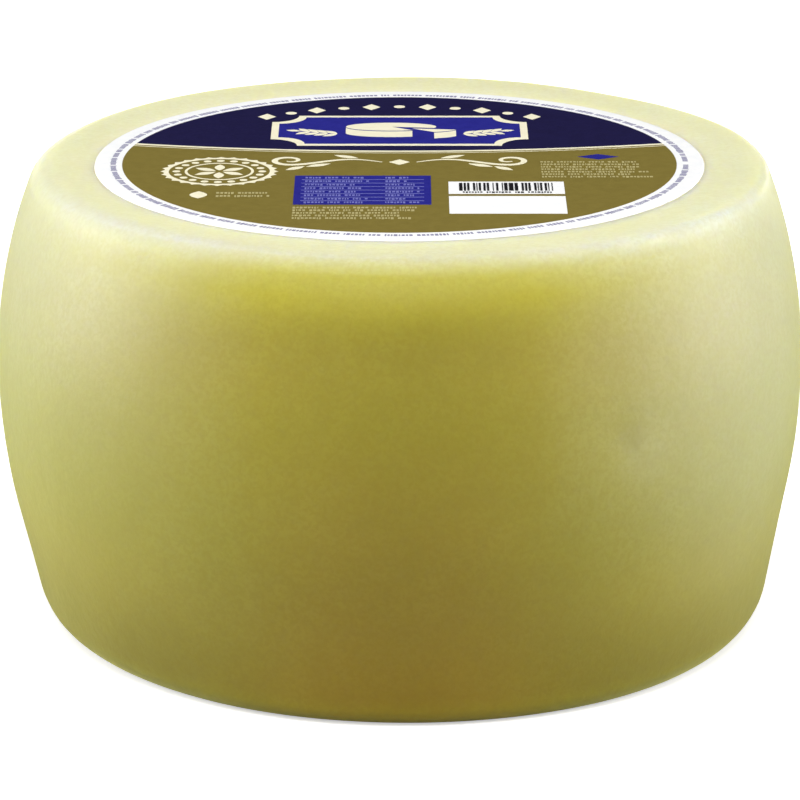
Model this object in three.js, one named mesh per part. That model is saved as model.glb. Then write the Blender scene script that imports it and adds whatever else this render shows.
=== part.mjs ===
// A small wheel of aged hard cheese, about 24 cm across, with a round paper label laid on its top face.
// The wheel is uncut, so the cheese is one solid. Units are millimetres and +Z is up. The origin is the
// centre of the foot, and the front, where the foot of the label's print points, is towards -Y.
import * as THREE from 'three';
import { mergeVertices } from 'three/addons/utils/BufferGeometryUtils.js';

// The outline that the mould and the turning give the wheel, from the foot up
const FOOT_ROUNDING = 14.3;
const LOWER_SIDE_TAPER_DEGREES = 12.4;
const LOWER_SIDE_RADIUS = 172;
const BELLY_RADIUS = 120;
const BELLY_HEIGHT = 76.5;
const UPPER_SIDE_RADIUS = 142;
const SHOULDER_ROUNDING = 6;
const FACE_HEIGHT = 133.6;
const RIM_RISE = 0.5;

// The round label, and the flat middle of the top face that it lies on
const LABEL_RADIUS = 88.6;
const LABEL_THICKNESS = 0.3;
const LABEL_GAP = 0.3;
const LABEL_SEAT_MARGIN = 1.5;

// The steps of each stretch of the outline, and of one turn
const TURN_STEPS = 96;
const FOOT_STEPS = 7;
const SIDE_STEPS = 6;
const SHOULDER_STEPS = 7;
const RIM_STEPS = 4;

// A size that changes round the wheel: its mean, its rise, how many high points one turn has, and where
// one of them is, in degrees from the front and counterclockwise seen from above
function changing({ mean, rise, highPoints, highestAt }) {
  const phase = THREE.MathUtils.degToRad(highestAt);
  return (azimuth) => mean + rise * Math.cos(highPoints * (azimuth - phase));
}

// The wheel's unevenness: it is a little oval, its left shoulder is the softer one, its back and left
// side lean in more towards the foot, its belly runs higher at the back right, and its foot is rounder
// at the back
const ovalSwell = changing({ mean: 1, rise: 0.018, highPoints: 2, highestAt: 11 });
const shoulderRounding = changing({ mean: SHOULDER_ROUNDING, rise: 2.5, highPoints: 1, highestAt: 292 });
const footRounding = changing({ mean: FOOT_ROUNDING, rise: 8, highPoints: 1, highestAt: 183 });
const lowerSideTaper = changing({
  mean: THREE.MathUtils.degToRad(LOWER_SIDE_TAPER_DEGREES),
  rise: THREE.MathUtils.degToRad(2.7),
  highPoints: 1,
  highestAt: 230,
});
const bellyHeight = changing({ mean: BELLY_HEIGHT, rise: 2.4, highPoints: 1, highestAt: 152 });

// One shallow dent in the side, right of the front: where it is, how wide and how deep
const DENT = { azimuth: THREE.MathUtils.degToRad(31), height: 82, reach: 8, depth: 0.8 };

// Points of an arc from one angle to another, both ends included, measured from the outward radius
function arc(centre, radius, from, to, steps) {
  return Array.from({ length: steps + 1 }, (_, step) => {
    const angle = from + ((to - from) * step) / steps;
    return new THREE.Vector2(centre.x + radius * Math.cos(angle), centre.y + radius * Math.sin(angle));
  });
}

// How far the dent presses the side in at one azimuth and height
function dentDepth(azimuth, height) {
  const across = 2 * BELLY_RADIUS * Math.sin((azimuth - DENT.azimuth) / 2);
  const distance = Math.hypot(across, height - DENT.height);
  return DENT.depth * Math.exp(-((distance / DENT.reach) ** 2));
}

// The wheel's half outline at one azimuth, from the centre of the foot to the centre of the top face
function wheelOutline(azimuth) {
  const foot = footRounding(azimuth);
  const taper = lowerSideTaper(azimuth);
  const belly = bellyHeight(azimuth);
  const shoulder = shoulderRounding(azimuth);

  const lowerCentre = new THREE.Vector2(BELLY_RADIUS - LOWER_SIDE_RADIUS, belly);
  const lowerStart = new THREE.Vector2(
    lowerCentre.x + LOWER_SIDE_RADIUS * Math.cos(taper),
    lowerCentre.y - LOWER_SIDE_RADIUS * Math.sin(taper),
  );
  const footCentre = new THREE.Vector2(
    lowerStart.x - (lowerStart.y - foot) * Math.tan(taper) - foot / Math.cos(taper),
    foot,
  );

  const upperCentre = new THREE.Vector2(BELLY_RADIUS - UPPER_SIDE_RADIUS, belly);
  const shoulderHeight = FACE_HEIGHT + RIM_RISE - shoulder;
  const shoulderAngle = Math.asin((shoulderHeight - belly) / (UPPER_SIDE_RADIUS - shoulder));
  const shoulderCentre = new THREE.Vector2(
    upperCentre.x + (UPPER_SIDE_RADIUS - shoulder) * Math.cos(shoulderAngle),
    shoulderHeight,
  );

  const sides = [
    ...arc(footCentre, foot, -Math.PI / 2, -taper, FOOT_STEPS),
    ...arc(lowerCentre, LOWER_SIDE_RADIUS, -taper, 0, SIDE_STEPS),
    ...arc(upperCentre, UPPER_SIDE_RADIUS, 0, shoulderAngle, SIDE_STEPS).slice(1),
    ...arc(shoulderCentre, shoulder, shoulderAngle, Math.PI / 2, SHOULDER_STEPS).slice(1),
  ];
  const swell = ovalSwell(azimuth);
  sides.forEach((point) => (point.x = point.x * swell - dentDepth(azimuth, point.y)));

  const crest = sides.at(-1);
  const seatRadius = LABEL_RADIUS + LABEL_SEAT_MARGIN;
  const rim = Array.from({ length: RIM_STEPS }, (_, step) => {
    const inward = (step + 1) / RIM_STEPS;
    const fall = THREE.MathUtils.smoothstep(inward, 0, 1) * RIM_RISE;
    return new THREE.Vector2(crest.x + (seatRadius - crest.x) * inward, crest.y - fall);
  });

  return [
    new THREE.Vector2(0, 0),
    ...sides,
    ...rim,
    new THREE.Vector2(0, FACE_HEIGHT),
  ];
}

// A closed body from an outline that changes on its way round: a lathe's grid, with each column of
// points moved to the outline at its own azimuth
function turnedBody(outlineAt) {
  const rows = outlineAt(0);
  const geometry = new THREE.LatheGeometry(rows, TURN_STEPS);
  const position = geometry.getAttribute('position');
  for (let column = 0; column <= TURN_STEPS; column++) {
    const azimuth = ((column % TURN_STEPS) / TURN_STEPS) * 2 * Math.PI;
    outlineAt(azimuth).forEach((point, row) => {
      const x = point.x * Math.sin(azimuth);
      const y = -point.x * Math.cos(azimuth);
      position.setXYZ(column * rows.length + row, x, y, point.y);
    });
  }
  return closed(geometry);
}

// The same body with its shared points merged and its normals worked out again
function closed(geometry) {
  geometry.deleteAttribute('normal');
  geometry.deleteAttribute('uv');
  const merged = mergeVertices(geometry);
  merged.computeVertexNormals();
  return merged;
}

// The whole wheel of cheese, centred over the origin
function cheeseWheel() {
  const geometry = turnedBody(wheelOutline);
  geometry.computeBoundingBox();
  const middle = geometry.boundingBox.getCenter(new THREE.Vector3());
  geometry.translate(-middle.x, -middle.y, 0);
  const rind = new THREE.MeshStandardMaterial({ color: '#dccf7c', roughness: 0.45, metalness: 0 });
  const mesh = new THREE.Mesh(geometry, rind);
  mesh.name = 'cheese_wheel';
  return mesh;
}

// The paper label, a thin round sheet lying just clear of the top face
function paperLabel() {
  const geometry = new THREE.CylinderGeometry(LABEL_RADIUS, LABEL_RADIUS, LABEL_THICKNESS, TURN_STEPS);
  const paper = new THREE.MeshStandardMaterial({ color: '#f4f3ee', roughness: 0.5, metalness: 0 });
  const mesh = new THREE.Mesh(closed(geometry), paper);
  mesh.name = 'paper_label';
  mesh.rotation.x = Math.PI / 2;
  mesh.position.z = FACE_HEIGHT + LABEL_GAP + LABEL_THICKNESS / 2;
  return mesh;
}

const labelledWheel = new THREE.Group();
labelledWheel.add(cheeseWheel(), paperLabel());

export default labelledWheel;
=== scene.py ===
import math
import random

import bmesh
import bpy
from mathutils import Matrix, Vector, noise


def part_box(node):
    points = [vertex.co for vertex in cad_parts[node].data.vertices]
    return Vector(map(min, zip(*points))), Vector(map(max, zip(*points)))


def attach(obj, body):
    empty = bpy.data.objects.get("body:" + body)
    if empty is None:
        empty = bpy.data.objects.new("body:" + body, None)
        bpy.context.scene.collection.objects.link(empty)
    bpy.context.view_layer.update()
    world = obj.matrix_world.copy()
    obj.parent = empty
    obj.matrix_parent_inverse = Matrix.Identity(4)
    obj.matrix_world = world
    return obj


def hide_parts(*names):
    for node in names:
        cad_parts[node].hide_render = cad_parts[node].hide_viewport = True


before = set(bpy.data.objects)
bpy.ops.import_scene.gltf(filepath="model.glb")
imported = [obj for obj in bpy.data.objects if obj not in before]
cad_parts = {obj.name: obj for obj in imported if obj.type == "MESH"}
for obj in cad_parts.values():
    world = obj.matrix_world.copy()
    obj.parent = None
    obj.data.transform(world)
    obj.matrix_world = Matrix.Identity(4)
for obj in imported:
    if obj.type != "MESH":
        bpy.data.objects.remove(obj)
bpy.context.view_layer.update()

# The cheese is one uncut wheel, pressed in a mould, salted and dried on a shelf. Its sides bulge, its
# shoulders are soft, its foot is flat, and its top face sinks a little inside the rim. The rind is part of
# the cheese: smooth, satin and slightly translucent, with the small marks that turning and handling leave.
MM = 0.001
FOOT_ROUNDING = 14.3 * MM
LOWER_SIDE_TAPER = math.radians(12.4)
LOWER_SIDE_RADIUS = 172 * MM
BELLY_RADIUS = 120 * MM
BELLY_HEIGHT = 76.5 * MM
UPPER_SIDE_RADIUS = 142 * MM
SHOULDER_ROUNDING = 6 * MM
FACE_HEIGHT = 133.6 * MM
RIM_RISE = 0.5 * MM
SEAT_RADIUS = 90.1 * MM

TURN_STEPS = 480
FLAT_STEPS = 8
FOOT_STEPS = 16
TAPER_STEPS = 14
LOWER_SIDE_STEPS = 20
UPPER_SIDE_STEPS = 64
SHOULDER_STEPS = 16
RIM_STEPS = 12


def changing(mean, rise, high_points, highest_at):
    """A size that changes round the wheel, by degrees from the front, counterclockwise seen from above."""
    phase = math.radians(highest_at)
    return lambda azimuth: mean + rise * math.cos(high_points * (azimuth - phase))


oval_swell = changing(1, 0.018, high_points=2, highest_at=11)
shoulder_rounding = changing(SHOULDER_ROUNDING, 2.5 * MM, high_points=1, highest_at=292)
foot_rounding = changing(FOOT_ROUNDING, 8 * MM, high_points=1, highest_at=183)
lower_side_taper = changing(LOWER_SIDE_TAPER, math.radians(2.7), high_points=1, highest_at=230)
belly_height = changing(BELLY_HEIGHT, 2.4 * MM, high_points=1, highest_at=152)


def arc(centre, radius, start, end, steps):
    """Points of an arc from one angle to another, measured from the outward radius, without the last."""
    turns = [start + (end - start) * step / steps for step in range(steps)]
    points = [(centre.x + radius * math.cos(turn), centre.y + radius * math.sin(turn)) for turn in turns]
    return [Vector(point) for point in points]


def line(start, end, steps):
    """Points of a straight stretch, without the last."""
    return [start.lerp(end, step / steps) for step in range(steps)]


def wheel_outline(azimuth):
    """The wheel's half outline at one azimuth, from the centre of the foot to the centre of the top."""
    foot = foot_rounding(azimuth)
    taper = lower_side_taper(azimuth)
    belly = belly_height(azimuth)
    shoulder = shoulder_rounding(azimuth)
    swell = oval_swell(azimuth)

    lower_centre = Vector((BELLY_RADIUS - LOWER_SIDE_RADIUS, belly))
    lower_start = lower_centre + LOWER_SIDE_RADIUS * Vector((math.cos(taper), -math.sin(taper)))
    foot_reach = lower_start.x - (lower_start.y - foot) * math.tan(taper) - foot / math.cos(taper)
    foot_centre = Vector((foot_reach, foot))
    foot_end = foot_centre + foot * Vector((math.cos(taper), -math.sin(taper)))

    upper_centre = Vector((BELLY_RADIUS - UPPER_SIDE_RADIUS, belly))
    shoulder_height = FACE_HEIGHT + RIM_RISE - shoulder
    reach = UPPER_SIDE_RADIUS - shoulder
    shoulder_angle = math.asin((shoulder_height - belly) / reach)
    shoulder_centre = Vector((upper_centre.x + reach * math.cos(shoulder_angle), shoulder_height))

    sides = [
        *arc(foot_centre, foot, -math.pi / 2, -taper, FOOT_STEPS),
        *line(foot_end, lower_start, TAPER_STEPS),
        *arc(lower_centre, LOWER_SIDE_RADIUS, -taper, 0, LOWER_SIDE_STEPS),
        *arc(upper_centre, UPPER_SIDE_RADIUS, 0, shoulder_angle, UPPER_SIDE_STEPS),
        *arc(shoulder_centre, shoulder, shoulder_angle, math.pi / 2, SHOULDER_STEPS),
    ]
    sides = [Vector((point.x * swell, point.y)) for point in sides]

    crest = Vector((shoulder_centre.x * swell, FACE_HEIGHT + RIM_RISE))
    rim = []
    for step in range(RIM_STEPS):
        inward = step / RIM_STEPS
        fall = inward * inward * (3 - 2 * inward) * RIM_RISE
        rim.append(Vector((crest.x + (SEAT_RADIUS - crest.x) * inward, crest.y - fall)))

    under = line(Vector((0, 0)), sides[0], FLAT_STEPS)
    seat = line(Vector((SEAT_RADIUS, FACE_HEIGHT)), Vector((0, FACE_HEIGHT)), FLAT_STEPS)
    return [*under, *sides, *rim, *seat, Vector((0, FACE_HEIGHT))]


def turned_mesh(name, outline_at, turn_steps):
    """A closed mesh from a half outline that may change on its way round, and that ends on the axis."""
    body = bmesh.new()
    columns = []
    start = outline_at(0)
    foot = body.verts.new((0, 0, start[0].y))
    top = body.verts.new((0, 0, start[-1].y))
    for step in range(turn_steps):
        azimuth = 2 * math.pi * step / turn_steps
        points = outline_at(azimuth)[1:-1]
        across = (math.sin(azimuth), -math.cos(azimuth))
        columns.append([body.verts.new((p.x * across[0], p.x * across[1], p.y)) for p in points])
    for here, there in zip(columns, columns[1:] + columns[:1]):
        body.faces.new((foot, there[0], here[0]))
        body.faces.new((top, here[-1], there[-1]))
        for row in range(len(here) - 1):
            body.faces.new((here[row], there[row], there[row + 1], here[row + 1]))
    for face in body.faces:
        face.smooth = True
    body.normal_update()
    mesh = bpy.data.meshes.new(name)
    body.to_mesh(mesh)
    body.free()
    return mesh


def placed(name, mesh, material):
    """A mesh as an object of the scene, with its material."""
    piece = bpy.data.objects.new(name, mesh)
    mesh.materials.append(material)
    bpy.context.scene.collection.objects.link(piece)
    return piece


# Marks in the rind, in degrees and millimetres: the azimuth, height, reach from the axis and tilt of the
# place where each is, how long and how wide it is, how it slopes, and how deep it is. Lips and swells
# stand out, so their depth is below 0. The first two are the sag and the swell of the soft front
# shoulder, and the next two are the dent.
MARKS = [
    dict(azimuth=-2, height=131.5, reach=109.5, tilt=30, long=60, wide=6.5, slope=0, depth=0.7),
    dict(azimuth=-2, height=119.5, reach=114.3, tilt=18, long=65, wide=9, slope=0, depth=-1.1),
    dict(azimuth=31, height=80.5, reach=121, tilt=4, long=8, wide=8, slope=0, depth=0.4),
    dict(azimuth=31.3, height=79.5, reach=121, tilt=4, long=3, wide=3.6, slope=15, depth=0.3),
    dict(azimuth=-39.6, height=128, reach=109, tilt=23, long=2.8, wide=1.2, slope=3, depth=0.38),
    dict(azimuth=-39.2, height=124.8, reach=110.2, tilt=20, long=2.4, wide=1.1, slope=-4, depth=0.3),
    dict(azimuth=57, height=133.5, reach=106.6, tilt=62, long=15, wide=2.2, slope=0, depth=-0.35),
    dict(azimuth=40, height=132.9, reach=108, tilt=50, long=7, wide=2, slope=6, depth=-0.4),
    dict(azimuth=34, height=132.6, reach=108.8, tilt=46, long=3, wide=1.6, slope=0, depth=-0.35),
    dict(azimuth=40.5, height=130, reach=110.1, tilt=25, long=7, wide=1.4, slope=0, depth=0.35),
    dict(azimuth=40.7, height=128.2, reach=110.8, tilt=21, long=7, wide=1.3, slope=0, depth=-0.3),
    dict(azimuth=28.3, height=132, reach=109.4, tilt=38, long=5, wide=1.2, slope=35, depth=0.3),
    dict(azimuth=118, height=117, reach=113, tilt=17, long=14, wide=2.2, slope=-6, depth=0.4),
    dict(azimuth=166, height=60, reach=120, tilt=-5, long=9, wide=9, slope=0, depth=0.6),
    dict(azimuth=-131, height=100, reach=118, tilt=10, long=3, wide=12, slope=20, depth=0.35),
]

# The rind's unevenness: each swell's length and how far it stands out. It fades out within a margin of
# the foot and of the label's seat.
SWELLS = [(58 * MM, 0.45 * MM), (21 * MM, 0.15 * MM), (8 * MM, 0.04 * MM)]
FLAT_MARGIN = 4 * MM


def mark_depth(mark, azimuth, reach, height):
    """How far one mark presses the rind in at a place."""
    around = 2 * mark["reach"] * MM * math.sin((azimuth - math.radians(mark["azimuth"])) / 2)
    tilt = math.radians(mark["tilt"])
    up = (height - mark["height"] * MM) * math.cos(tilt) - (reach - mark["reach"] * MM) * math.sin(tilt)
    slope = math.radians(mark["slope"])
    along = (around * math.cos(slope) + up * math.sin(slope)) / (mark["long"] * MM)
    across = (up * math.cos(slope) - around * math.sin(slope)) / (mark["wide"] * MM)
    return mark["depth"] * MM * math.exp(-along * along - across * across)


def rind_relief(place):
    """How far the rind stands out at a place. The foot and the label's seat stay flat."""
    radius = math.hypot(place.x, place.y)
    from_foot = min(1, place.z / FLAT_MARGIN)
    from_seat = min(1, max(0, radius - SEAT_RADIUS) / FLAT_MARGIN) if place.z > BELLY_HEIGHT else 1
    swell = sum(rise * noise.noise(place / length) for length, rise in SWELLS)
    azimuth = math.atan2(place.x, -place.y)
    from_rim = min(1, max(0, radius - SEAT_RADIUS - FLAT_MARGIN) / FLAT_MARGIN)
    marks = sum(mark_depth(mark, azimuth, radius, place.z) for mark in MARKS)
    return from_foot * from_seat * swell - from_rim * marks


def cheese_mesh():
    """The wheel, centred over the origin as the solid is, with the rind's relief."""
    mesh = turned_mesh("cheese", wheel_outline, TURN_STEPS)
    low = [min(vertex.co[axis] for vertex in mesh.vertices) for axis in range(2)]
    high = [max(vertex.co[axis] for vertex in mesh.vertices) for axis in range(2)]
    middle = Vector(((low[0] + high[0]) / 2, (low[1] + high[1]) / 2, 0))
    normals = [vertex.normal.copy() for vertex in mesh.vertices]
    for vertex, normal in zip(mesh.vertices, normals):
        vertex.co += normal * rind_relief(vertex.co)
        vertex.co -= middle
    return mesh


def socket(group, name, kind, way, default=None):
    """A named input or output of a shader node group."""
    made = group.interface.new_socket(name=name, in_out=way, socket_type=kind)
    if default is not None:
        made.default_value = default


def blotches_group():
    """Soft patches of one colour in another, at a given number of patches in a metre."""
    group = bpy.data.node_groups.new("blotches", "ShaderNodeTree")
    socket(group, "Ground", "NodeSocketColor", "INPUT")
    socket(group, "Patch", "NodeSocketColor", "INPUT")
    socket(group, "Patches per Metre", "NodeSocketFloat", "INPUT", 30)
    socket(group, "Strength", "NodeSocketFloat", "INPUT", 1)
    socket(group, "Color", "NodeSocketColor", "OUTPUT")
    nodes, links = group.nodes, group.links
    given = nodes.new("NodeGroupInput")
    place = nodes.new("ShaderNodeTexCoord")
    cloud = nodes.new("ShaderNodeTexNoise")
    cloud.inputs["Detail"].default_value = 3
    cloud.inputs["Roughness"].default_value = 0.55
    cloud.inputs["Distortion"].default_value = 0.4
    links.new(place.outputs["Object"], cloud.inputs["Vector"])
    links.new(given.outputs["Patches per Metre"], cloud.inputs["Scale"])
    edge = nodes.new("ShaderNodeMapRange")
    edge.interpolation_type = "SMOOTHSTEP"
    edge.inputs["From Min"].default_value = 0.36
    edge.inputs["From Max"].default_value = 0.66
    links.new(cloud.outputs["Fac"], edge.inputs["Value"])
    share = nodes.new("ShaderNodeMath")
    share.operation = "MULTIPLY"
    links.new(edge.outputs["Result"], share.inputs[0])
    links.new(given.outputs["Strength"], share.inputs[1])
    blend = nodes.new("ShaderNodeMix")
    blend.data_type = "RGBA"
    links.new(share.outputs["Value"], blend.inputs["Factor"])
    links.new(given.outputs["Ground"], blend.inputs["A"])
    links.new(given.outputs["Patch"], blend.inputs["B"])
    made = nodes.new("NodeGroupOutput")
    links.new(blend.outputs["Result"], made.inputs["Color"])
    return group


def grain_group():
    """A fine uneven skin: a height from 0 to 1, and the roughness that goes with it."""
    group = bpy.data.node_groups.new("grain", "ShaderNodeTree")
    socket(group, "Grains per Metre", "NodeSocketFloat", "INPUT", 400)
    socket(group, "Roughness", "NodeSocketFloat", "INPUT", 0.5)
    socket(group, "Roughness Change", "NodeSocketFloat", "INPUT", 0.1)
    socket(group, "Height", "NodeSocketFloat", "OUTPUT")
    socket(group, "Roughness", "NodeSocketFloat", "OUTPUT")
    nodes, links = group.nodes, group.links
    given = nodes.new("NodeGroupInput")
    place = nodes.new("ShaderNodeTexCoord")
    grain = nodes.new("ShaderNodeTexNoise")
    grain.inputs["Detail"].default_value = 4
    grain.inputs["Roughness"].default_value = 0.6
    links.new(place.outputs["Object"], grain.inputs["Vector"])
    links.new(given.outputs["Grains per Metre"], grain.inputs["Scale"])
    around = nodes.new("ShaderNodeMath")
    around.operation = "SUBTRACT"
    around.inputs[1].default_value = 0.5
    links.new(grain.outputs["Fac"], around.inputs[0])
    rough = nodes.new("ShaderNodeMath")
    rough.operation = "MULTIPLY_ADD"
    links.new(around.outputs["Value"], rough.inputs[0])
    links.new(given.outputs["Roughness Change"], rough.inputs[1])
    links.new(given.outputs["Roughness"], rough.inputs[2])
    made = nodes.new("NodeGroupOutput")
    links.new(grain.outputs["Fac"], made.inputs["Height"])
    links.new(rough.outputs["Value"], made.inputs["Roughness"])
    return group


BLOTCHES = blotches_group()
GRAIN = grain_group()


def effect(nodes, group, **values):
    """A node group placed in a material, with values of its own. Underscores stand for spaces."""
    node = nodes.new("ShaderNodeGroup")
    node.node_tree = group
    for name, value in values.items():
        node.inputs[name.replace("_", " ")].default_value = value
    return node


# The rind's shades by the way from the foot up the side and then in over the rim, in millimetres. The way
# in is measured from the rim's radius. The pale stops over the top are partly the rind's paler tone and
# partly painted sheen; the palest, next to the label, are painted light over the shade the label casts
# into the rind.
RIM_RADIUS = 106 * MM
SHADED_LENGTH = 160 * MM
SHADES = [
    (0, (0.62, 0.47, 0.05)),
    (4, (0.46, 0.33, 0.025)),
    (9, (0.418, 0.288, 0.029)),
    (30, (0.434, 0.319, 0.046)),
    (60, (0.437, 0.347, 0.053)),
    (90, (0.413, 0.357, 0.05)),
    (110, (0.424, 0.364, 0.055)),
    (118, (0.44, 0.388, 0.05)),
    (124, (0.476, 0.43, 0.045)),
    (129, (0.525, 0.493, 0.072)),
    (131, (0.545, 0.53, 0.18)),
    (132.5, (0.59, 0.58, 0.32)),
    (134, (0.62, 0.615, 0.49)),
    (137, (0.6, 0.59, 0.48)),
    (142, (0.64, 0.625, 0.5)),
    (147, (0.7, 0.68, 0.545)),
    (151, (0.82, 0.78, 0.64)),
]

# What the shades turn to in the painted sheen on the flanks, and the tints that multiply them on the
# flanks for that sheen, low on the sides, at the foot for painted shade and in the deeper blotches, or are
# added to them for the painted highlight on the shoulder's crest and in the pale patches
PAINTED_SHEEN_SHADE = (0.585, 0.58, 0.52)
FLANK_SHEEN_TINT = (0.95, 1.015, 1.01)
LOWER_TINT = (0.905, 1.02, 1.01)
FOOT_SHADE_TINT = (0.66, 0.68, 0.5)
DEEPER_TINT = (0.9, 0.87, 0.75)
CREST_HIGHLIGHT_TINT = (0.025, 0.035, 0.11)
BLOOM_AND_HIGHLIGHT_TINT = (0.06, 0.07, 0.11)

# Where a pale patch is added to the rind, how far each reaches, and how pale it is. The first three are
# painted highlights on the front right, where the side turns towards the light; the last, at the back, is
# a pale bloom.
BLOOMS_AND_HIGHLIGHTS = [
    ((0.07, -0.097, 0.086), 0.05, 0.45),
    ((0.068, -0.1, 0.077), 0.014, 0.45),
    ((0.101, -0.062, 0.068), 0.065, 1),
    ((-0.03, 0.117, 0.07), 0.045, 0.5),
]


def rind_material():
    """Satin rind: golden sides, paler top, painted sheen on the flanks and crest, painted shade by the
    foot.
    """
    material = bpy.data.materials.new("cheese_rind")
    material.use_nodes = True
    nodes, links = material.node_tree.nodes, material.node_tree.links
    shader = nodes["Principled BSDF"]

    def share(value, start, end, most=1.0, smooth=True):
        """How far a value has come from a start to an end, from 0 to the most."""
        node = nodes.new("ShaderNodeMapRange")
        node.interpolation_type = "SMOOTHSTEP" if smooth else "LINEAR"
        node.inputs["From Min"].default_value = start
        node.inputs["From Max"].default_value = end
        node.inputs["To Max"].default_value = most
        links.new(value, node.inputs["Value"])
        return node.outputs["Result"]

    def worked(operation, first, second):
        """Two values added, multiplied or the like. The second is a socket or a plain number."""
        node = nodes.new("ShaderNodeMath")
        node.operation = operation
        links.new(first, node.inputs[0])
        if isinstance(second, bpy.types.NodeSocket):
            links.new(second, node.inputs[1])
        else:
            node.inputs[1].default_value = second
        return node.outputs["Value"]

    def tinted(way, ground, tint, where=None):
        """A tint mixed with a ground, added to it or multiplied by it, all over or where a mask says."""
        node = nodes.new("ShaderNodeMix")
        node.data_type = "RGBA"
        node.blend_type = way
        node.inputs["Factor"].default_value = 1
        node.inputs["B"].default_value = (*tint, 1)
        links.new(ground, node.inputs["A"])
        if where:
            links.new(where, node.inputs["Factor"])
        return node.outputs["Result"]

    place = nodes.new("ShaderNodeTexCoord").outputs["Object"]
    parts = nodes.new("ShaderNodeSeparateXYZ")
    links.new(place, parts.inputs["Vector"])
    height = parts.outputs["Z"]
    aside = worked("ABSOLUTE", parts.outputs["X"], 0)
    across = nodes.new("ShaderNodeVectorMath")
    across.operation = "MULTIPLY"
    across.inputs[1].default_value = (1, 1, 0)
    links.new(place, across.inputs[0])
    out = nodes.new("ShaderNodeVectorMath")
    out.operation = "LENGTH"
    links.new(across.outputs["Vector"], out.inputs[0])
    radius = out.outputs["Value"]

    inward = share(radius, RIM_RADIUS, 0, RIM_RADIUS, smooth=False)
    along = share(worked("ADD", height, inward), 0, SHADED_LENGTH, smooth=False)
    tone = nodes.new("ShaderNodeValToRGB")
    while len(tone.color_ramp.elements) < len(SHADES):
        tone.color_ramp.elements.new(0.5)
    for stop, (reached, shade) in zip(tone.color_ramp.elements, SHADES):
        stop.position = reached * MM / SHADED_LENGTH
        stop.color = (*shade, 1)
    links.new(along, tone.inputs["Fac"])

    # Painted sheen: on the flanks towards the left and right, outside the label, the rind is painted paler
    # and whiter the higher it goes.
    flank = worked("POWER", share(aside, 36 * MM, 109 * MM, 0.87, smooth=False), 1.2)
    outer = worked("MULTIPLY", flank, share(radius, 88 * MM, 102 * MM))
    rising = worked("POWER", share(height, 10 * MM, 134 * MM, smooth=False), 1.9)
    painted_sheen = worked("MULTIPLY", outer, rising)
    shade = tinted("MIX", tone.outputs["Color"], PAINTED_SHEEN_SHADE, painted_sheen)
    shade = tinted("MULTIPLY", shade, FLANK_SHEEN_TINT, outer)

    # Painted highlight: a pale, bluish band is added along the crest of the front shoulder, to each side
    # of its middle.
    crest = share(height, 123 * MM, 132 * MM)
    crest = worked("MULTIPLY", crest, share(aside, 10 * MM, 62 * MM))
    crest = worked("MULTIPLY", crest, share(parts.outputs["Y"], -15 * MM, -65 * MM))
    crest = worked("MULTIPLY", crest, share(radius, 96 * MM, 107 * MM))
    shade = tinted("ADD", shade, CREST_HIGHLIGHT_TINT, crest)

    lower = worked("MULTIPLY", share(aside, 10 * MM, 55 * MM), share(height, 105 * MM, 50 * MM))
    shade = tinted("MULTIPLY", shade, LOWER_TINT, lower)
    # Painted shade: the flanks are darkened and browned towards the foot, more the further they lie to the
    # side.
    foot = worked("MULTIPLY", share(aside, 20 * MM, 78 * MM), share(height, 42 * MM, 5 * MM))
    shade = tinted("MULTIPLY", shade, FOOT_SHADE_TINT, foot)

    # Pale patches: painted highlights on the front right, and one pale bloom at the back.
    for centre, reach, paleness in BLOOMS_AND_HIGHLIGHTS:
        away = nodes.new("ShaderNodeVectorMath")
        away.operation = "DISTANCE"
        away.inputs[1].default_value = centre
        links.new(place, away.inputs[0])
        shade = tinted("ADD", shade, BLOOM_AND_HIGHLIGHT_TINT, share(away.outputs["Value"], reach, 0, paleness))

    deeper = tinted("MULTIPLY", shade, DEEPER_TINT)
    for patches, strength in ((18, 0.35), (150, 0.35), (700, 0.7)):
        layer = effect(nodes, BLOTCHES, Patches_per_Metre=patches, Strength=strength)
        links.new(shade, layer.inputs["Ground"])
        links.new(deeper, layer.inputs["Patch"])
        shade = layer.outputs["Color"]
    links.new(shade, shader.inputs["Base Color"])

    skin = effect(nodes, GRAIN, Grains_per_Metre=260, Roughness=0.42, Roughness_Change=0.16)
    bump = nodes.new("ShaderNodeBump")
    bump.inputs["Distance"].default_value = 0.12 * MM
    links.new(skin.outputs["Roughness"], shader.inputs["Roughness"])
    links.new(skin.outputs["Height"], bump.inputs["Height"])
    links.new(bump.outputs["Normal"], shader.inputs["Normal"])

    shader.inputs["Subsurface Weight"].default_value = 1
    shader.inputs["Subsurface Radius"].default_value = (1.0, 0.8, 0.2)
    shader.inputs["Subsurface Scale"].default_value = 22 * MM
    shader.inputs["Specular IOR Level"].default_value = 0.2
    shader.inputs["Sheen Weight"].default_value = 0.58
    shader.inputs["Sheen Roughness"].default_value = 0.5
    shader.inputs["Sheen Tint"].default_value = (1, 1, 0.4, 1)
    return material


cheese = placed("cheese", cheese_mesh(), rind_material())
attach(cheese, "root")
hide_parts("cheese_wheel")

# The label is one round sheet of coated white paper, laid on the flat middle of the top face while the
# rind is tacky. Its cut edge is thin and turned down a little onto the cheese.
label_low, label_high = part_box("paper_label")
LABEL_RADIUS = (label_high.x - label_low.x) / 2
LABEL_DROP = 0.2 * MM
PAPER_TOP = label_high.z - LABEL_DROP
PAPER_FOOT = FACE_HEIGHT + 0.01 * MM
EDGE_FALL = 0.3 * MM


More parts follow.
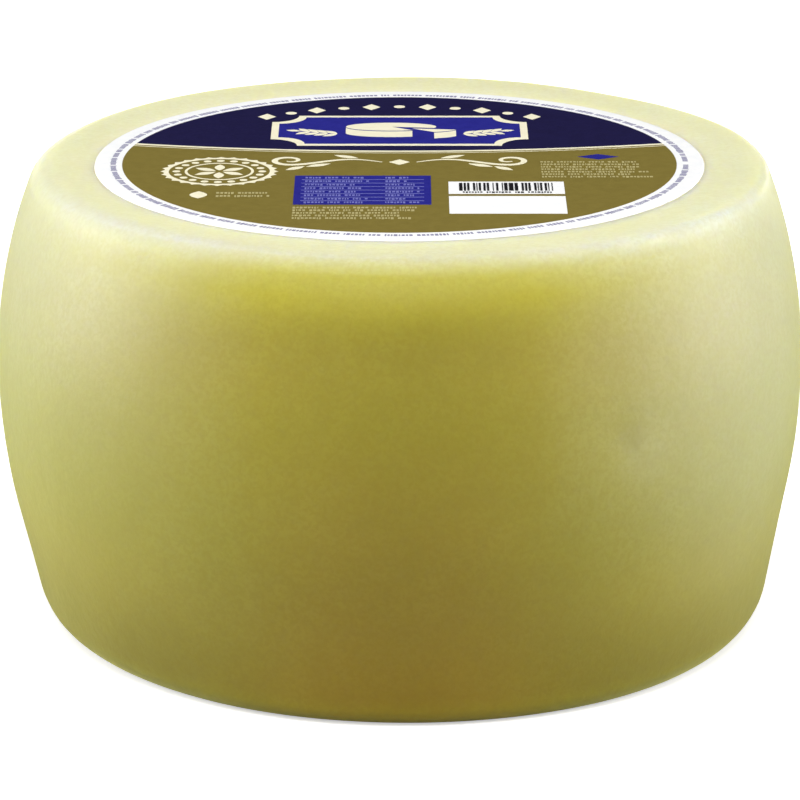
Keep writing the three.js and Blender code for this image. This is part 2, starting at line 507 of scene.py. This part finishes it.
def paper_outline(azimuth):
    """The sheet's half outline, with its edge turned down."""
    return [
        Vector((0, PAPER_FOOT)),
        Vector((LABEL_RADIUS - EDGE_FALL, PAPER_FOOT)),
        Vector((LABEL_RADIUS, PAPER_FOOT)),
        Vector((LABEL_RADIUS - EDGE_FALL / 4, PAPER_TOP - EDGE_FALL / 3)),
        Vector((LABEL_RADIUS - EDGE_FALL, PAPER_TOP)),
        Vector((LABEL_RADIUS - 4 * EDGE_FALL, PAPER_TOP)),
        Vector((0, PAPER_TOP)),
    ]


def colour(red, green, blue):
    """A colour given as it is seen, from 0 to 255, turned into the light that the shader works with."""
    shares = [value / 255 for value in (red, green, blue)]
    return (*[s / 12.92 if s <= 0.04045 else ((s + 0.055) / 1.055) ** 2.4 for s in shares], 1)


def coated(name, shade, patch, roughness=0.6, gloss=0.06):
    """Coated paper or an ink on it: an even film with a faint unevenness and the paper's grain."""
    material = bpy.data.materials.new(name)
    material.use_nodes = True
    nodes, links = material.node_tree.nodes, material.node_tree.links
    shader = nodes["Principled BSDF"]
    film = effect(nodes, BLOTCHES, Ground=shade, Patch=patch, Patches_per_Metre=260, Strength=0.6)
    fibre = effect(nodes, GRAIN, Grains_per_Metre=900, Roughness=roughness, Roughness_Change=0.15)
    bump = nodes.new("ShaderNodeBump")
    bump.inputs["Distance"].default_value = 0.04 * MM
    links.new(film.outputs["Color"], shader.inputs["Base Color"])
    links.new(fibre.outputs["Roughness"], shader.inputs["Roughness"])
    links.new(fibre.outputs["Height"], bump.inputs["Height"])
    links.new(bump.outputs["Normal"], shader.inputs["Normal"])
    shader.inputs["Specular IOR Level"].default_value = gloss
    return material


PAPER_WHITE = coated("label_paper", colour(244, 244, 243), colour(237, 238, 240))
paper = placed("label_sheet", turned_mesh("label_sheet", paper_outline, 256), PAPER_WHITE)
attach(paper, "root")
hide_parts("paper_label")

# The two ground colours are printed first, as flat films that meet under the sagging rules: navy at the
# back of the label and a dull gold over the rest. They leave the outer ring of the paper white. All of the
# print is drawn in millimetres from the middle of the label.
FIELD_RADIUS = 80.6
HORIZON_SAG = 9
HORIZON_HEIGHT = 21
ROUND_STEPS = 160
FILM = 0.04 * MM


def at_turn(radius, degrees, centre=(0, 0)):
    """The point of a circle on the label at so many degrees from +X, in millimetres."""
    turn = math.radians(degrees)
    return (centre[0] + radius * math.cos(turn), centre[1] + radius * math.sin(turn))


def on_circle(radius, start, end, steps, centre=(0, 0)):
    """Points of a circle or an arc on the label, by degrees from +X, both ends included."""
    return [at_turn(radius, start + (end - start) * step / steps, centre) for step in range(steps + 1)]


def horizon(drop, steps=60):
    """A line from edge to edge of the field, so far under the grounds' join, sagging by a parabola."""
    height = HORIZON_HEIGHT - drop
    half = math.sqrt(FIELD_RADIUS**2 - height**2)
    across = [-half + 2 * half * step / steps for step in range(steps + 1)]
    return [(x, height - HORIZON_SAG * (1 - (x / half) ** 2)) for x in across]


def printed(name, outlines, layer, ink):
    """One colour of print: closed outlines, filled and given a film's thickness, in its own layer."""
    drawing = bpy.data.curves.new(name, "CURVE")
    drawing.dimensions = "2D"
    drawing.fill_mode = "BOTH"
    drawing.extrude = FILM / 2
    for outline in outlines:
        spline = drawing.splines.new("POLY")
        spline.points.add(len(outline) - 1)
        spline.use_cyclic_u = True
        for point, (x, y) in zip(spline.points, outline):
            point.co = (x * MM, y * MM, 0, 1)
    pattern = bpy.data.objects.new(name, drawing)
    mesh = bpy.data.meshes.new_from_object(pattern)
    bpy.data.objects.remove(pattern)
    bpy.data.curves.remove(drawing)
    film = bmesh.new()
    film.from_mesh(mesh)
    bmesh.ops.remove_doubles(film, verts=film.verts, dist=0.001 * MM)
    bmesh.ops.recalc_face_normals(film, faces=film.faces)
    bmesh.ops.translate(film, verts=film.verts, vec=(0, 0, PAPER_TOP + (layer - 0.5) * FILM))
    film.to_mesh(mesh)
    film.free()
    mesh.name = name
    mesh.materials.clear()
    piece = placed(name, mesh, ink)
    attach(piece, "root")


NAVY = coated("navy_ink", colour(30, 27, 65), colour(27, 24, 58))
GOLD = coated("gold_ink", colour(123, 110, 53), colour(116, 103, 49))

left_end = math.degrees(math.atan2(HORIZON_HEIGHT, -math.sqrt(FIELD_RADIUS**2 - HORIZON_HEIGHT**2)))
back_arc = on_circle(FIELD_RADIUS, 180 - left_end, left_end, ROUND_STEPS)
front_arc = on_circle(FIELD_RADIUS, left_end, 540 - left_end, ROUND_STEPS)
printed("ground_navy", [back_arc + horizon(0)[1:-1]], layer=1, ink=NAVY)
printed("ground_gold", [front_arc + horizon(0)[-2:0:-1]], layer=1, ink=GOLD)

# Two rules are printed over the grounds in one pass of ivory ink, a broad one and a hairline. They follow
# the line where the grounds meet, and the broad one covers the join.
RULES = [(-0.7, 0.7), (1.9, 2.3)]
IVORY = coated("ivory_ink", colour(240, 234, 206), colour(232, 226, 196))


def band(upper, lower):
    """A closed outline between two lines that run the same way."""
    return upper + lower[::-1]


rules = [band(horizon(top), horizon(bottom)) for top, bottom in RULES]
printed("rules_ivory", rules, layer=2, ink=IVORY)

# Fine print runs round the white ring in one pass of grey violet ink. It is plain upright strokes, set
# in groups of uneven length and bent round the label.
RING_PRINT_RADIUS = 83.2
STROKE_HEIGHT = 1.9
VIOLET = coated("violet_ink", colour(140, 138, 166), colour(132, 130, 158))
setting = random.Random(7)


def stroke_run(length, height, shortest, longest, gap, group_gap):
    """Strokes along a line in groups of three to nine: where each starts and ends, and how tall it is."""
    strokes = []
    at = 0
    while at < length:
        for _ in range(setting.randint(3, 9)):
            long = setting.uniform(shortest, longest)
            if at + long > length:
                return strokes
            strokes.append((at, at + long, height * setting.choice((0.8, 0.8, 1))))
            at += long + gap
        at += group_gap
    return strokes


def bent_stroke(start, end, height):
    """One upright stroke of the ring's fine print, bent round the label."""
    turn = 180 / math.pi / RING_PRINT_RADIUS
    inner = RING_PRINT_RADIUS - height / 2
    outer = RING_PRINT_RADIUS + height / 2
    return [*on_circle(inner, start * turn, end * turn, 1), *on_circle(outer, end * turn, start * turn, 1)]


ring_length = 2 * math.pi * RING_PRINT_RADIUS - 2
ring_strokes = stroke_run(ring_length, STROKE_HEIGHT, shortest=0.4, longest=1.0, gap=0.35, group_gap=0.9)
printed("ring_print", [bent_stroke(*stroke) for stroke in ring_strokes], layer=1, ink=VIOLET)

# A bow of lozenges and dots is printed in ivory ink on the navy ground, in an arc inside the white ring.
# The two take turns along the bow, and a lozenge stands at each end.
BOW_RADIUS = 68
BOW_STEP = 7.2
BOW_SIDE = 5


def lozenge(x, y, width, height):
    """An upright lozenge."""
    return [(x + width / 2, y), (x, y + height / 2), (x - width / 2, y), (x, y - height / 2)]


def dot(x, y, radius, steps=20):
    """A round spot."""
    return on_circle(radius, 0, 360 - 360 / steps, steps - 1, centre=(x, y))


bow = []
for place in range(-BOW_SIDE, BOW_SIDE + 1):
    x, y = at_turn(BOW_RADIUS, 90 - place * BOW_STEP)
    bow.append(lozenge(x, y, width=5.4, height=7.6) if place % 2 else dot(x, y, radius=1.7))
printed("bow_ivory", bow, layer=2, ink=IVORY)

# The plaque is a blue panel with scooped corners in an ivory border. It shows a wheel of cheese with one
# wedge drawn out, between two ears of wheat.
PLAQUE_CENTRE = (0, 37.5)
PLAQUE_WIDTH = 72
PLAQUE_HEIGHT = 33
PLAQUE_BORDER = 2.2
SCOOP = 8
PICTURE_CENTRE = (-2.5, 42)
LEFT_EAR = (-18.5, 33)
RIGHT_EAR = (19, 33)
BLUE = coated("blue_ink", colour(42, 42, 134), colour(36, 36, 124))


def plaque_outline(margin):
    """The plaque's outline, grown by a margin on every side."""
    x0, y0 = PLAQUE_CENTRE
    x, y = PLAQUE_WIDTH / 2 + margin, PLAQUE_HEIGHT / 2 + margin
    outline = []
    for side_x, side_y, start in ((1, 1, 270), (-1, 1, 360), (-1, -1, 90), (1, -1, 180)):
        corner = (x0 + side_x * x, y0 + side_y * y)
        outline += on_circle(SCOOP, start, start - 90, 12, centre=corner)
    return outline


def ellipse(centre, across, up, start, end, steps):
    """Points of an ellipse, by degrees from +X, both ends included."""
    arc_points = on_circle(1, start, end, steps)
    return [(centre[0] + across * x, centre[1] + up * y) for x, y in arc_points]


def wheel_picture(centre):
    """A small wheel of cheese with a wedge drawn out to the right: top faces and sides, with gaps."""
    across, up, thick, gap = 13.5, 5, 7, 0.9
    cut, cut_end = -62, -18
    drawn_out, drawn_down = 6.5, 2.2
    x, y = centre
    tip = (x, y)
    top = [*ellipse(tip, across, up, cut_end, 360 + cut, 40), tip]
    below = (x, y - gap)
    side_top = ellipse(below, across, up, 180, 360 + cut, 20)
    side = band(side_top, [(px, py - thick) for px, py in side_top])
    out = (x + drawn_out, y - drawn_down)
    wedge_top = [*ellipse(out, across, up, cut, cut_end, 8), out]
    wedge_under = ellipse((out[0], out[1] - gap), across, up, cut, cut_end, 8)
    wedge_side = band(wedge_under, [(px, py - thick) for px, py in wedge_under])
    return [top, side, wedge_top, wedge_side]


def leaf(root, angle, length, width, steps=8):
    """A pointed leaf or grain from its root, at an angle in degrees."""
    x, y = root
    cos, sin = math.cos(math.radians(angle)), math.sin(math.radians(angle))
    rim = [(length * s / steps, width / 2 * math.sin(math.pi * s / steps)) for s in range(steps + 1)]
    closed = rim + [(along, -out) for along, out in rim[-2:0:-1]]
    return [(x + (along * cos - out * sin), y + (along * sin + out * cos)) for along, out in closed]


def leaning(lift, way):
    """The angle of a leaf that lifts so many degrees, to the right or, mirrored, to the left."""
    return lift if way > 0 else 180 - lift


def wheat_ear(root, way):
    """An ear of wheat that leans outwards: pairs of grains along a short rise, and one at its end."""
    step_out, step_up = 2.7, 0.9
    pairs = 4
    grains = []
    for pair in range(pairs):
        place = (root[0] + way * pair * step_out, root[1] + pair * step_up)
        grains += [leaf(place, leaning(lift, way), length=5.2, width=2.3) for lift in (48, -34)]
    tip = (root[0] + way * pairs * step_out, root[1] + pairs * step_up)
    grains.append(leaf(tip, leaning(14, way), length=4.6, width=2.1))
    return grains


printed("plaque_border", [plaque_outline(PLAQUE_BORDER)], layer=2, ink=IVORY)
printed("plaque_ground", [plaque_outline(0)], layer=3, ink=BLUE)
picture = wheel_picture(PICTURE_CENTRE) + wheat_ear(LEFT_EAR, -1) + wheat_ear(RIGHT_EAR, 1)
printed("plaque_picture", picture, layer=4, ink=IVORY)

# An ivory scroll lies in the gold under the plaque: a lozenge in the middle, and on each side a long
# stem that ends in a curl, with leaves along it.
SCROLL_CENTRE = (0, -1)
STEM_START = 5
STEM_LENGTH = 27
STEM_WAVE = 3.2
STEM_STEPS = 24
CURL_RADIUS = 5.2
CURL_END = 0.22
CURL_TURN = 400
CURL_STEPS = 30
PEN_END = 0.5
PEN_SWELL = 1.3

# The leaves of one side: how far out and up each grows from the scroll's middle, its lift and its length
SCROLL_LEAVES = [(12, 4.6, 28, 8), (20, -1.8, -28, 8), (27.5, -5.0, -40, 7)]


def ribbon(points, widths):
    """The outline of a line drawn with a pen that widens and narrows."""
    left, right = [], []
    for index, (x, y) in enumerate(points):
        x0, y0 = points[max(0, index - 1)]
        x1, y1 = points[min(len(points) - 1, index + 1)]
        long = math.hypot(x1 - x0, y1 - y0)
        nx, ny = -(y1 - y0) / long, (x1 - x0) / long
        half = widths[index] / 2
        left.append((x + nx * half, y + ny * half))
        right.append((x - nx * half, y - ny * half))
    return left + right[::-1]


def scroll_side(way):
    """The stem on one side of the scroll: a wave that runs out into a curl."""
    x0, y0 = SCROLL_CENTRE
    stem = []
    for step in range(STEM_STEPS + 1):
        share = step / STEM_STEPS
        rise = STEM_WAVE * math.sin(math.pi * 1.5 * share)
        stem.append((x0 + way * (STEM_START + STEM_LENGTH * share), y0 + rise))
    centre = (stem[-1][0], stem[-1][1] + CURL_RADIUS)
    curl = []
    for step in range(1, CURL_STEPS + 1):
        share = step / CURL_STEPS
        radius = CURL_RADIUS * (1 - (1 - CURL_END) * share)
        curl.append(at_turn(radius, -90 + way * CURL_TURN * share, centre))
    pen_line = stem + curl
    last = len(pen_line) - 1
    widths = [PEN_END + PEN_SWELL * math.sin(math.pi * index / last) for index in range(last + 1)]
    return ribbon(pen_line, widths)


scroll = [lozenge(*SCROLL_CENTRE, width=6, height=6.4), scroll_side(1), scroll_side(-1)]
for way in (1, -1):
    for x, y, lift, long in SCROLL_LEAVES:
        root = (SCROLL_CENTRE[0] + way * x, SCROLL_CENTRE[1] + y)
        scroll.append(leaf(root, leaning(lift, way), long, width=2.6))
printed("scroll_ivory", scroll, layer=2, ink=IVORY)

# A round seal is printed in ivory ink on the gold, left of the middle. It has a notched rim, a ring of
# beads between two round lines, and a flower of six petals.
SEAL_CENTRE = (-52, -12)
SEAL_RADIUS = 17
SEAL_RINGS = [14.6, 10, 9.2]
NOTCHES = 28
NOTCH_DEPTH = 1.1
BEADS = 20
BEAD_RING = 12.4
BEAD_RADIUS = 1.15
PETALS = 6
PETAL_START = 1.2


def notched(radius, steps=6):
    """A round outline with shallow scallops."""
    outline = []
    for step in range(NOTCHES * steps):
        degrees = 360 * step / (NOTCHES * steps)
        reach = radius - NOTCH_DEPTH * abs(math.sin(math.radians(degrees) * NOTCHES / 2))
        outline.append(at_turn(reach, degrees, SEAL_CENTRE))
    return outline


def seal_ring(radius):
    """A full round outline about the seal's middle."""
    return dot(*SEAL_CENTRE, radius, steps=72)


seal = [notched(SEAL_RADIUS), *[seal_ring(radius) for radius in SEAL_RINGS]]
for bead in range(BEADS):
    seal.append(dot(*at_turn(BEAD_RING, bead * 360 / BEADS, SEAL_CENTRE), BEAD_RADIUS, steps=12))
for petal in range(PETALS):
    degrees = (petal + 0.5) * 360 / PETALS
    seal.append(leaf(at_turn(PETAL_START, degrees, SEAL_CENTRE), degrees, length=6.8, width=3))
printed("seal_ivory", seal, layer=2, ink=IVORY)

# The information panel is a blue table with pale rules and strokes, and a few lines of fine print under
# it. Fine print also stands at the right under a small blue badge, and at the lower left by a drop.
PANEL = (-30, -50, 9, -17)
PANEL_ROWS = 8
PANEL_PITCH = 4
PANEL_MARGIN = 3
COLUMN_END = 22
COLUMN_START = 26
FIRST_LINE_DROP = 1.8
RULE_MARGIN = 2
RULE_THICKNESS = 0.4
FIRST_RULE_DROP = 4.6
BADGE_PLACE = (58, 5.4)
DROP_PLACE = (-57, -35)
PALE = coated("pale_ink", colour(118, 120, 186), colour(110, 112, 178))
KHAKI = coated("khaki_ink", colour(178, 168, 118), colour(170, 160, 112))


def box(x0, y0, x1, y1):
    """A rectangle from its lower left to its upper right corner."""
    return [(x0, y0), (x1, y0), (x1, y1), (x0, y1)]


def print_lines(x0, x1, top, pitch, lines, height, ragged=0.0):
    """Lines of fine print as plain strokes."""
    strokes = []
    for row in range(lines):
        y = top - row * pitch
        length = (x1 - x0) * (1 - ragged * setting.random())
        row_strokes = stroke_run(length, height, shortest=0.35, longest=0.9, gap=0.3, group_gap=0.9)
        strokes += [box(x0 + start, y - tall, x0 + end, y) for start, end, tall in row_strokes]
    return strokes


x0, y0, x1, y1 = PANEL
printed("panel_ground", [box(*PANEL)], layer=2, ink=BLUE)
rule_tops = [y1 - FIRST_RULE_DROP - PANEL_PITCH * row for row in range(PANEL_ROWS - 1)]
panel_rules = [box(x0 + RULE_MARGIN, top - RULE_THICKNESS, x1 - RULE_MARGIN, top) for top in rule_tops]
rows = dict(top=y1 - FIRST_LINE_DROP, pitch=PANEL_PITCH, lines=PANEL_ROWS, height=1.9)
panel_print = print_lines(x0 + PANEL_MARGIN, x0 + COLUMN_END, **rows, ragged=0.35)
panel_print += print_lines(x0 + COLUMN_START, x1 - PANEL_MARGIN, **rows, ragged=0.3)
printed("panel_print", panel_rules + panel_print, layer=3, ink=PALE)
fine_print = print_lines(x0, x1 - PANEL_MARGIN, top=y0 - 2.5, pitch=2.9, lines=5, height=1.9, ragged=0.25)
fine_print += print_lines(41, 75, top=0, pitch=2.9, lines=7, height=1.8, ragged=0.3)
fine_print += print_lines(-52, -36, top=-36, pitch=3.4, lines=2, height=2.1, ragged=0.2)
printed("fine_print", fine_print, layer=2, ink=KHAKI)
printed("badge", [lozenge(*BADGE_PLACE, width=12, height=6.4)], layer=2, ink=BLUE)
printed("drop", [leaf(DROP_PLACE, angle=-90, length=8, width=5, steps=12)], layer=2, ink=IVORY)

# The code box and the blank box are white panels at the right: one with upright bars and small strokes
# under them in dark ink, and one that is left free for the weight and date.
CODE_BOX = (14, -38, 47, -24)
BLANK_BOX = (14, -60, 47, -40.5)
BAR_UNIT = 0.33
DARK = coated("dark_ink", colour(30, 28, 32), colour(24, 22, 26))


def code_bars(x0, x1, low, high):
    """Upright bars of one to four units, with gaps of one to three."""
    bars = []
    at = x0
    while at < x1 - 4 * BAR_UNIT:
        wide = BAR_UNIT * setting.choice((1, 1, 2, 2, 3, 4))
        bars.append(box(at, low, at + wide, high))
        at += wide + BAR_UNIT * setting.choice((1, 1, 2, 3))
    return bars


printed("white_boxes", [box(*CODE_BOX), box(*BLANK_BOX)], layer=2, ink=PAPER_WHITE)
printed("code_bars", code_bars(17, 45, low=-34.5, high=-25.5), layer=3, ink=DARK)
printed("code_digits", print_lines(18, 44, top=-35.4, pitch=3, lines=1, height=1.7), layer=3, ink=DARK)

# The studio: a plain pale floor, a broad light overhead in front, one on each side, weak ones low and at
# the corners, and a camera a little above the wheel's top. None of it belongs to the object.
FLOOR_HALF = 12


def floor_material():
    """A plain pale floor. It glows for the camera, most far off, and throws little light at the wheel."""
    material = bpy.data.materials.new("pale_floor")
    material.use_nodes = True
    nodes, links = material.node_tree.nodes, material.node_tree.links
    shader = nodes["Principled BSDF"]
    shader.inputs["Roughness"].default_value = 0.9
    shader.inputs["Specular IOR Level"].default_value = 0.1
    shader.inputs["Emission Color"].default_value = (1, 1, 1, 1)
    path = nodes.new("ShaderNodeLightPath")
    shade = nodes.new("ShaderNodeMix")
    shade.data_type = "RGBA"
    shade.inputs["A"].default_value = (0.2, 0.2, 0.2, 1)
    shade.inputs["B"].default_value = (0.9, 0.9, 0.9, 1)
    links.new(path.outputs["Is Camera Ray"], shade.inputs["Factor"])
    links.new(shade.outputs["Result"], shader.inputs["Base Color"])
    place = nodes.new("ShaderNodeTexCoord")
    away = nodes.new("ShaderNodeVectorMath")
    away.operation = "LENGTH"
    links.new(place.outputs["Object"], away.inputs[0])
    far = nodes.new("ShaderNodeMapRange")
    far.inputs["From Min"].default_value = 0.3
    far.inputs["From Max"].default_value = 1.5
    far.inputs["To Min"].default_value = 0.5
    links.new(away.outputs["Value"], far.inputs["Value"])
    glow = nodes.new("ShaderNodeMath")
    glow.operation = "MULTIPLY"
    links.new(path.outputs["Is Camera Ray"], glow.inputs[0])
    links.new(far.outputs["Result"], glow.inputs[1])
    links.new(glow.outputs["Value"], shader.inputs["Emission Strength"])
    return material


floor_mesh = bpy.data.meshes.new("floor")
corners = [(x * FLOOR_HALF, y * FLOOR_HALF, 0) for x, y in ((-1, -1), (1, -1), (1, 1), (-1, 1))]
floor_mesh.from_pydata(corners, [], [(0, 1, 2, 3)])
floor = placed("floor", floor_mesh, floor_material())


WHEEL_MIDDLE = (0, 0, 0.07)


def softbox(name, place, width, height, power, aim=WHEEL_MIDDLE):
    """A flat studio light that faces a point, with its size in metres and its power in watts."""
    light = bpy.data.lights.new(name, "AREA")
    light.shape = "RECTANGLE"
    light.size = width
    light.size_y = height
    light.energy = power
    lamp = bpy.data.objects.new(name, light)
    lamp.location = place
    lamp.rotation_euler = (Vector(aim) - Vector(place)).to_track_quat("-Z", "Y").to_euler()
    bpy.context.scene.collection.objects.link(lamp)


softbox("overhead_front", (0, -1, 1.6), width=1.6, height=1, power=29.8)
softbox("left", (-1.6, 0.1, 0.5), width=1, height=1, power=26.6)
softbox("right", (1.6, 0.1, 0.5), width=1, height=1, power=22.6)
softbox("back_left", (-1.3, 1, 0.6), width=1, height=1.2, power=4.4)
softbox("low_left", (-1.6, 0.3, 0.25), width=1, height=0.45, power=1)
softbox("low_right", (1.6, 0.3, 0.25), width=1, height=0.45, power=2.2)
softbox("low_back", (0.2, 1.8, 0.065), width=2, height=0.12, power=9, aim=(0, 0, 0.065))
softbox("front_left", (-1.2, -1.2, 0.6), width=1, height=1, power=3.5)
softbox("front_right", (1.2, -1.2, 0.6), width=1, height=1, power=5)

world = bpy.data.worlds.new("studio")
world.use_nodes = True
backdrop = world.node_tree.nodes["Background"]
backdrop.inputs["Color"].default_value = (1, 1, 1, 1)
seen = world.node_tree.nodes.new("ShaderNodeLightPath")
world.node_tree.links.new(seen.outputs["Is Camera Ray"], backdrop.inputs["Strength"])
bpy.context.scene.world = world
bpy.context.scene.view_settings.view_transform = "Standard"

CAMERA_DISTANCE = 1.44
CAMERA_ELEVATION = math.radians(16.905)
CAMERA_AIM = Vector((0.16 * MM, 0, 61.42 * MM))
lens = bpy.data.cameras.new("camera")
lens.lens = 219.37
lens.sensor_width = 36
camera = bpy.data.objects.new("camera", lens)
back = Vector((0, -math.cos(CAMERA_ELEVATION), math.sin(CAMERA_ELEVATION)))
camera.location = CAMERA_AIM + CAMERA_DISTANCE * back
camera.rotation_euler = (math.pi / 2 - CAMERA_ELEVATION, 0, 0)
bpy.context.scene.collection.objects.link(camera)
bpy.context.scene.camera = camera
